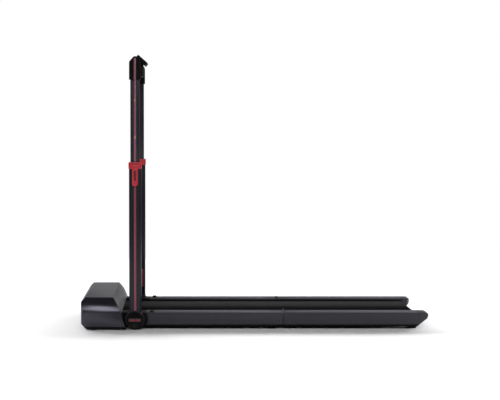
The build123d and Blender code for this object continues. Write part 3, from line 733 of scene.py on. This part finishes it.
@dataclass
class RunningBelt:
    """One endless belt over both halves, with extra segments at the fold."""

    thickness: float = 0.0020
    fold_reach: float = 0.020
    fold_steps: int = 20
    wrap_steps: int = 24

    def build(self) -> bpy.types.Object:
        """Extrudes and spins the belt's edge round its route.

        Returns:
            The belt.
        """
        front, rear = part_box("belt_front"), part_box("belt_rear")
        fold = next(j for j in frame["joints"] if j["name"] == "deck_fold")["pos_m"]
        half = front[1][1]
        radius = (front[1][2] - front[0][2]) / 2
        height = (front[1][2] + front[0][2]) / 2
        front_axis, rear_axis = front[0][0] + radius, rear[1][0] - radius
        top, low = height + radius, height - radius
        mesh = bmesh.new()
        start = [mesh.verts.new((front_axis, y, top)) for y in (-half, half)]
        edge = [mesh.edges.new(start)]
        edge = self.run(mesh, edge, fold[0] - self.fold_reach, 1)
        edge = self.run(mesh, edge, fold[0] + self.fold_reach, self.fold_steps)
        edge = self.run(mesh, edge, rear_axis, 1)
        edge = self.wrap(mesh, edge, (rear_axis, 0.0, height), radius)
        edge = self.run(mesh, edge, fold[0] + self.fold_reach, 1)
        edge = self.run(mesh, edge, fold[0] - self.fold_reach, self.fold_steps)
        edge = self.run(mesh, edge, front_axis, 1)
        self.wrap(mesh, edge, (front_axis, 0.0, height), radius)
        bmesh.ops.remove_doubles(mesh, verts=mesh.verts, dist=1e-6)
        bmesh.ops.recalc_face_normals(mesh, faces=mesh.faces)
        self.chart(mesh, front_axis, rear_axis, height, radius)
        piece = Piece("running_belt", "base", "belt", Stock.BELT)
        made = piece.finish(mesh, replaces=("belt_front", "belt_rear"), rides=False)
        wall = made.modifiers.new("thickness", "SOLIDIFY")
        wall.thickness = self.thickness
        wall.offset = -1.0
        near, far = fold[0] - self.fold_reach, fold[0] + self.fold_reach
        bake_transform(made)
        return made

    def run(self, mesh: bmesh.types.BMesh, edge: list, end: float, steps: int) -> list:
        """Extrudes the belt's edge in a straight line to a station.

        Args:
            mesh: The belt.
            edge: The edge it continues from.
            end: The X it reaches.
            steps: Number of equal parts.

        Returns:
            The new edge.
        """
        start = edge[0].verts[0].co.x
        for _ in range(steps):
            geometry = bmesh.ops.extrude_edge_only(mesh, edges=edge)["geom"]
            verts = [item for item in geometry if isinstance(item, bmesh.types.BMVert)]
            edge = [item for item in geometry if isinstance(item, bmesh.types.BMEdge)
                    and all(v in verts for v in item.verts)]
            bmesh.ops.translate(mesh, verts=verts, vec=((end - start) / steps, 0.0, 0.0))
        return edge

    def wrap(self, mesh: bmesh.types.BMesh, edge: list, centre: Point, radius: float) -> list:
        """Turns the belt's edge half round a roller.

        Args:
            mesh: The belt.
            edge: The edge it continues from.
            centre: The roller's centre.
            radius: The belt's outer radius.

        Returns:
            The new edge.
        """
        last = bmesh.ops.spin(mesh, geom=[*edge[0].verts, *edge], cent=centre, axis=(0.0, 1.0, 0.0),
                              angle=math.pi, steps=self.wrap_steps, use_duplicate=False)["geom_last"]
        return [item for item in last if isinstance(item, bmesh.types.BMEdge)]

    def chart(self, mesh: bmesh.types.BMesh, front: float, rear: float, height: float, radius: float) -> None:
        """Maps the belt by its length and its width.

        Args:
            mesh: The belt.
            front: X of the front roller.
            rear: X of the rear roller.
            height: Z of both rollers.
            radius: The belt's outer radius.
        """
        layer = mesh.loops.layers.uv.new("run")
        straight = rear - front
        for face in mesh.faces:
            lower = face.calc_center_median().z < height
            for loop in face.loops:
                x, y, z = loop.vert.co
                if x > rear + 1e-6:
                    along = straight + radius * math.acos(max(-1.0, min(1.0, (z - height) / radius)))
                elif x < front - 1e-6:
                    along = -radius * math.acos(max(-1.0, min(1.0, (z - height) / radius)))
                elif lower and face.calc_center_median().x > front:
                    along = straight + math.pi * radius + (rear - x)
                elif lower:
                    along = -math.pi * radius
                else:
                    along = x - front
                loop[layer].uv = (along, y)


@dataclass
class Bodywork:
    """Hood, rails, caps and covers with their moulded edges."""

    soft_edge: float = 0.0012
    cover_angle: float = 12.0
    cap_angle: float = 24.0
    tail_angle: float = 35.0
    rail_edge: float = 0.0012
    hood_edge: float = 0.0018
    tail_edge: float = 0.0035
    # Height of the black band painted on the rails' foot as painted shadow.
    painted_shadow_height: float = 0.0085
    seam_half: float = 0.0013
    seam_lean: float = 0.0040
    seam_proud: float = 0.0003
    seam_depth: float = 0.0015
    inlet_edge: float = 0.0005
    rocker_edge: float = 0.0006

    def build(self) -> None:
        """Refines every moulded or rolled shape that shows."""
        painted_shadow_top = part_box("front_rails")[0][2] + self.painted_shadow_height
        refined("hood_cover", "base", Stock.HOOD, self.hood_edge, angle=self.cover_angle)
        # The caps' rounded edges take the lighter edge finish, a painted highlight line along them.
        refined("hood_end_caps", "base", Stock.HOOD_SIDE, self.hood_edge, angle=self.cap_angle,
                edge=Stock.HOOD_EDGE)
        refined("hood_base", "base", Stock.BLACK, self.soft_edge)
        # The rails' lowest strip takes the black finish as painted shadow, standing for the shade under the rails.
        for node, body in (("front_rails", "base"), ("rear_rails", "rear_deck")):
            refined(node, body, Stock.RAIL, self.rail_edge, inlay=Stock.BLACK,
                    where=lambda face: face.z < painted_shadow_top, cut=painted_shadow_top)
        self.seam()
        refined("tail_caps", "rear_deck", Stock.TAIL, self.tail_edge, angle=self.tail_angle, steps=4)
        refined("pivot_covers", "base", Stock.BLACK, self.soft_edge)
        refined("front_rubber_feet", "base", Stock.RUBBER, self.soft_edge)
        refined("rear_rubber_feet", "rear_deck", Stock.RUBBER, self.soft_edge)
        refined("inlet_panel", "base", Stock.BLACK, self.inlet_edge)
        refined("switch_rocker", "power_rocker", Stock.GLOSS, self.rocker_edge)

    def seam(self) -> None:
        """Dark gasket round the foot rails' joint, leaning with it."""
        low, high = (Vector(corner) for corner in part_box("front_rails"))
        mesh = bmesh.new()
        for out in (-1.0, 1.0):
            face = out * (high.y + self.seam_proud)
            y0, y1 = sorted((face, face - out * self.seam_depth))
            corners = block(mesh, (high.x - self.seam_half, y0, low.z + 0.001),
                            (high.x + self.seam_half * 0.3, y1, high.z - 0.0012))
            foot = [vert for vert in corners if vert.co.z < (low.z + high.z) / 2]
            bmesh.ops.translate(mesh, verts=foot, vec=(-self.seam_lean, 0.0, 0.0))
        Piece("fold_seam_gasket", "base", "rubber", Stock.BLACK).finish(mesh)


@dataclass
class TransportWheel:
    """Moulded wheel with a grooved tread and a dished hub."""

    side: str
    dish: float = 0.0025
    groove: float = 0.0012
    grooves: int = 3
    bore_share: float = 0.21
    hub_share: float = 0.42
    web_share: float = 0.78
    rounding: float = 0.0016
    hub_draft: float = 0.0006
    web_draft: float = 0.0008

    def build(self) -> None:
        """Turns the wheel."""
        node = "transport_wheel_" + self.side
        low, high = (Vector(corner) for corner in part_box(node))
        radius, half = (high.z - low.z) / 2, (high.y - low.y) / 2
        bore, hub, web = radius * self.bore_share, radius * self.hub_share, radius * self.web_share
        dish = -half + self.dish
        face = [(-half, bore), (-half, hub), (dish, hub + self.hub_draft), (dish, web),
                (-half, web + self.web_draft), (-half, radius - self.rounding),
                (-half + self.rounding, radius)]
        tread = []
        pitch = 2 * half / (self.grooves + 1)
        for number in range(self.grooves):
            middle = -half + pitch * (number + 1)
            tread += [(middle - self.groove, radius), (middle - self.groove / 2, radius - self.groove),
                      (middle + self.groove / 2, radius - self.groove), (middle + self.groove, radius)]
        outline = face + tread + [(-along, reach) for along, reach in reversed(face)]
        mesh = bmesh.new()
        drum(mesh, (low + high) / 2, Vector((0.0, 1.0, 0.0)), outline + outline[:1])
        piece = Piece(node + "_tyre", "wheel_" + self.side, slot_of(node), Stock.RUBBER)
        piece.finish(mesh, replaces=(node,))


@dataclass
class LockKnob:
    """Round knob over the pivot: knurled rim, raised bar and two red inlays."""

    side: str
    thickness: float = 0.007
    rim: float = 0.0045
    dish: float = 0.0014
    bar_half: float = 0.0075
    bar_reach: float = 0.0270
    inlay_half: float = 0.0042
    inlay_span: tuple[float, float] = (0.0020, 0.0212)
    flutes: int = 48
    flute_depth: float = 0.0009
    bar_height: float = 0.003
    root: float = 0.002
    inlay_rise: float = 0.0006
    bar_edge: float = 0.0012
    inlay_edge: float = 0.0005
    spigot: tuple[float, float] = (0.015, 0.008)
    rounding: float = 0.0015

    def build(self) -> None:
        """Turns the disc, flutes its rim and adds the bar and inlays."""
        node = "lock_knob_" + self.side
        body = "knob_" + self.side
        low, high = (Vector(corner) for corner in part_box(node))
        radius = (high.z - low.z) / 2
        out = 1.0 if self.side == "right" else -1.0
        top = high.y if out > 0 else -low.y
        inner = top - self.bar_height - self.thickness
        axis = Vector((0.0, out, 0.0))
        centre = Vector(((low.x + high.x) / 2, 0.0, (low.z + high.z) / 2))
        face = top - self.bar_height
        length, thick = self.spigot
        outline = [(inner - length, 0.0), (inner - length, thick), (inner, thick),
                   (inner, radius - self.rounding), (inner + self.rounding, radius),
                   (face - self.rounding, radius), (face, radius - self.rounding),
                   (face, radius - self.rim), (face - self.dish, radius - self.rim - self.dish),
                   (face - self.dish, 0.0)]
        mesh = bmesh.new()
        drum(mesh, centre, axis, outline, 4 * self.flutes)
        self.flute(mesh, centre, radius)
        piece = Piece(node + "_disc", body, slot_of(node), Stock.BLACK)
        piece.finish(mesh, replaces=(node,))
        mesh = bmesh.new()
        span, rise = (-self.bar_reach, self.bar_reach), (face - self.root, top - self.inlay_rise)
        self.slab(mesh, centre, span, self.bar_half, out, rise)
        Piece(node + "_bar", body, slot_of(node), Stock.GLOSS).finish(mesh, self.bar_edge)
        mesh = bmesh.new()
        near, far = self.inlay_span
        for span in ((-far, -near), (near, far)):
            self.slab(mesh, centre, span, self.inlay_half, out, (top - self.root, top))
        Piece(node + "_inlays", body, "red", Stock.INLAY_RED).finish(mesh, self.inlay_edge)

    def flute(self, mesh: bmesh.types.BMesh, centre: Vector, radius: float) -> None:
        """Draws the rim in at every flute.

        Args:
            mesh: The turned disc.
            centre: A point on its axis.
            radius: Its outer radius.
        """
        for vert in mesh.verts:
            arm = Vector((vert.co.x - centre.x, 0.0, vert.co.z - centre.z))
            if arm.length > radius - 0.002:
                wave = 0.5 + 0.5 * math.cos(self.flutes * math.atan2(arm.z, arm.x))
                vert.co -= arm.normalized() * self.flute_depth * wave

    def slab(self, mesh: bmesh.types.BMesh, centre: Vector, span: tuple[float, float], half: float,
             out: float, rise: tuple[float, float]) -> None:
        """Adds a flat bar on the knob's face.

        Args:
            mesh: The mesh it is added to.
            centre: A point on the knob's axis.
            span: Its ends along X from the axis.
            half: Half its width.
            out: 1 on the right of the machine and -1 on the left.
            rise: Its two faces' distances from the machine's middle.
        """
        y0, y1 = sorted((out * rise[0], out * rise[1]))
        block(mesh, (centre.x + span[0], y0, centre.z - half), (centre.x + span[1], y1, centre.z + half))


@dataclass
class Clamp:
    """Red collar and flip lever on one or both posts."""

    collar_edge: float = 0.0030
    lever_edge: float = 0.0020
    slot_half: float = 0.0042

    def build(self) -> None:
        """Refines the collars and the levers, with painted shade inside the levers' slots."""
        refined("clamp_collars", "handrail_lower", Stock.RED, self.collar_edge, steps=4)
        for side in ("left", "right"):
            node = "clamp_lever_" + side
            low, high = (Vector(corner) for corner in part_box(node))
            middle = (low.x + high.x) / 2
            width = high.x - low.x

            def sunk(face: Vector) -> bool:
                """Says whether a face is inside the slot.

                Args:
                    face: The face's middle.

                Returns:
                    True inside it.
                """
                between = low.z + width < face.z + self.slot_half * 2 and face.z < high.z - width * 0.9
                inside = low.y + 0.0002 < face.y < high.y - 0.0002
                return abs(face.x - middle) < self.slot_half and between and inside

            # Faces inside each lever's slot take the dark red as painted shade.
            refined(node, "lever_" + side, Stock.RED, self.lever_edge, inlay=Stock.DEEP_RED, where=sunk)


@dataclass
class Posts:
    """Both pairs of posts with their stripes, hubs, heads and detents."""

    post_edge: float = 0.0004
    hub_edge: float = 0.0015
    trim_edge: float = 0.0002
    head_edge: float = 0.0035
    detent_size: tuple[float, float] = (0.0030, 0.0055)
    detent_below_cap: tuple[float, float] = (0.086, 0.237)
    detent_proud: float = 0.0004
    detent_root: float = 0.0015
    detent_dish: float = 0.0012
    detent_round: float = 0.0003
    detent_mouth: tuple[float, float] = (0.55, 0.50)

    def build(self) -> None:
        """Refines the posts and everything on them."""
        refined("pivot_hubs", "handrail_lower", Stock.POST, self.hub_edge)
        refined("lower_posts", "handrail_lower", Stock.POST, self.post_edge)
        # The upper posts take the lighter copy of the post finish as painted light.
        refined("upper_posts", "handrail_upper", Stock.UPPER_POST, self.post_edge)
        refined("lower_trim", "handrail_lower", Stock.STRIPE, self.trim_edge)
        # The upper stripe takes the lighter copy of the stripe finish as painted light.
        refined("upper_trim", "handrail_upper", Stock.UPPER_STRIPE, self.trim_edge)
        refined("top_caps", "handrail_upper", Stock.BLACK, self.head_edge, angle=25.0, steps=4)
        self.detents()

    def detents(self) -> None:
        """Oval brass bushes let into the upper posts' stripes."""
        low, high = (Vector(corner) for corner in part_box("upper_posts"))
        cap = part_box("top_caps")[0][2]
        mesh = bmesh.new()
        for out in (-1.0, 1.0):
            for drop in self.detent_below_cap:
                centre = Vector(((low.x + high.x) / 2, 0.0, cap - drop))
                verts = set(mesh.verts)
                half, tall = self.detent_size
                face = high.y + self.detent_proud
                root, dish = face - self.detent_root, face - self.detent_dish
                wide, narrow = (half * share for share in self.detent_mouth)
                outline = [(root, 0.0), (root, half), (face - self.detent_round, half),
                           (face, half - self.detent_round), (face, wide), (dish, narrow), (dish, 0.0)]
                drum(mesh, centre, Vector((0.0, out, 0.0)), outline, 32)
                fresh = [vert for vert in mesh.verts if vert not in verts]
                bmesh.ops.scale(mesh, verts=fresh, vec=(1.0, 1.0, tall / half),
                                space=Matrix.Translation(-centre))
        Piece("post_detents", "handrail_upper", "steel", Stock.BRASS).finish(mesh)


@dataclass
class Grips:
    """Foam sleeves on the crossbar with rolled ends."""

    bore: float = 0.0161
    roll: float = 0.002
    rings: int = 3
    ring_pitch: float = 0.006
    ring_depth: float = 0.0007
    first_ring: float = 0.008
    ring_step: float = 0.0006
    from_console: float = 0.020

    def build(self) -> None:
        """Turns both sleeves."""
        low, high = (Vector(corner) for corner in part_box("grips"))
        radius = (high.z - low.z) / 2
        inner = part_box("console_shell")[1][1] + self.from_console
        end = high.y
        groove = [0.0, self.ring_depth, self.ring_depth, 0.0]
        rings = []
        for number in range(self.rings):
            start = self.first_ring + number * self.ring_pitch
            rings += [(start + self.ring_step * step, radius - depth) for step, depth in enumerate(groove)]
        near = [(0.0, self.bore), (0.0, radius - self.roll), (self.roll * 0.3, radius - self.roll * 0.3),
                (self.roll, radius)] + rings
        outline = [(inner + along, reach) for along, reach in near]
        outline += [(end - along, reach) for along, reach in reversed(near)]
        mesh = bmesh.new()
        centre = Vector(((low.x + high.x) / 2, 0.0, (low.z + high.z) / 2))
        for out in (-1.0, 1.0):
            drum(mesh, centre, Vector((0.0, out, 0.0)), outline + outline[:1])
        Piece("foam_grips", "handrail_upper", "foam", Stock.FOAM).finish(mesh, replaces=("grips",))


@dataclass
class Console:
    """Console pod with its neck and its three buttons."""

    edge: float = 0.0030
    neck_edge: float = 0.0020
    button_edge: float = 0.0008
    buttons: int = 3

    def build(self) -> None:
        """Refines the pod, the neck and the buttons."""
        refined("console_shell", "handrail_upper", Stock.BLACK, self.edge, steps=4, edge=Stock.GLOSS)
        refined("console_neck", "handrail_upper", Stock.BLACK, self.neck_edge)
        for number in range(1, self.buttons + 1):
            node = "console_button_%d" % number
            refined(node, "button_%d" % number, Stock.RUBBER, self.button_edge)


@dataclass
class CarriedOver:
    """CAD nodes that keep their own shape and get a finish."""

    stocks: tuple[tuple[Stock, tuple[str, ...]], ...] = (
        (Stock.STEEL, ("front_axles", "rear_roller_axle", "motor_rotor", "front_roller", "rear_roller",
                       "front_roller_bearings", "rear_roller_bearings", "hinge_pins", "lever_pins")),
        (Stock.FRAME, ("motor_can", "front_crossmembers", "rear_crossmembers", "front_hinge_leaves",
                       "rear_hinge_leaves", "front_beams", "rear_beams", "pivot_brackets")),
        (Stock.CAST, ("motor_saddles", "motor_controller")),
        (Stock.CIRCUIT, ("control_board",)),
        (Stock.RUBBER, ("drive_belt",)),
        (Stock.BOARD, ("front_deck_board", "rear_deck_board")),
        (Stock.POST, ("crossbar",)),
        (Stock.WINDOW, ("console_window",)),
        (Stock.BLACK, ("guide_bushes", "post_glides")),
    )

    def build(self) -> None:
        """Assigns the finishes."""
        for stock, nodes in self.stocks:
            for node in nodes:
                data = frame["nodes"][node].data
                data.materials.clear()
                data.materials.append(stock.material())


def main() -> None:
    """Builds every sub-assembly in order."""
    logging.basicConfig(level=logging.INFO, format="%(name)s: %(message)s")
    for part in (Studio(), CarriedOver(), Bodywork(), RunningBelt(), TransportWheel("left"),
                 TransportWheel("right"), LockKnob("left"), LockKnob("right"), Clamp(), Posts(), Grips(),
                 Console()):
        part.build()
        log.info("built %s", type(part).__name__)


if __name__ == "__main__":
    main()
